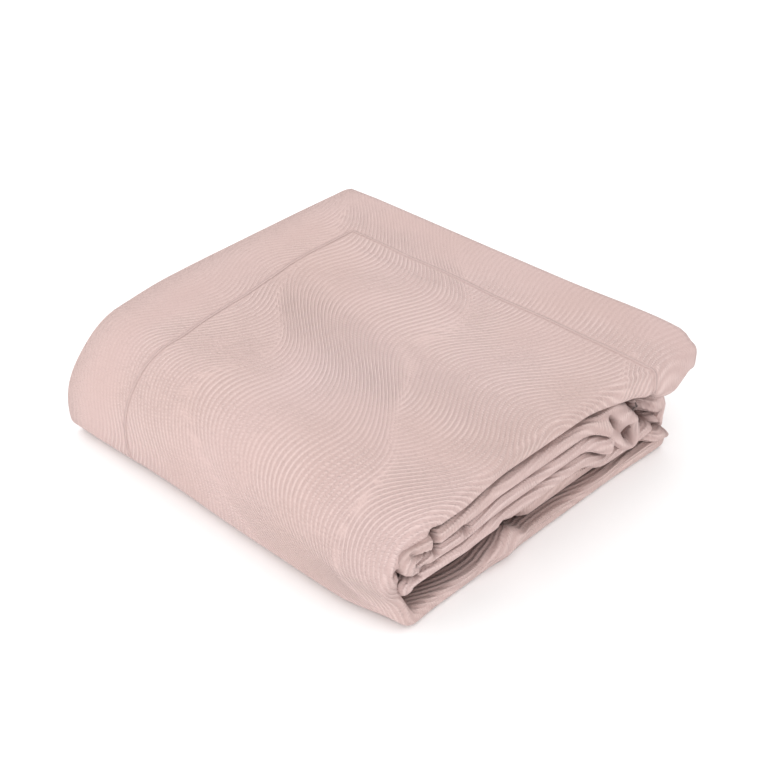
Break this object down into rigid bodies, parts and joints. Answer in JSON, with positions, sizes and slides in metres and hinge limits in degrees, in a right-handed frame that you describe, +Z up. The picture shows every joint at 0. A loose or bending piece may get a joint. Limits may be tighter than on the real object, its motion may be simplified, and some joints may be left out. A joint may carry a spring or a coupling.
{
  "type": "folded bedspread",
  "caption": "Cotton bedspread with a ripple weave, folded into a flat packet with a big soft roll along one side, its folded edges stacked at one end.",
  "frame": {"origin": "middle of the packet's underside, on the surface that it rests on", "axes": "+X from the hem edges to the folded edges, +Y from the big roll to the open side, +Z up"},
  "size_m": [0.4598, 0.4442, 0.1254],
  "materials": {
    "cotton": "matt woven cotton in a pale dusty pink, with fine raised ripples"
  },
  "bodies": {
    "root": {"bedspread": "cotton"}
  },
  "joints": []
}
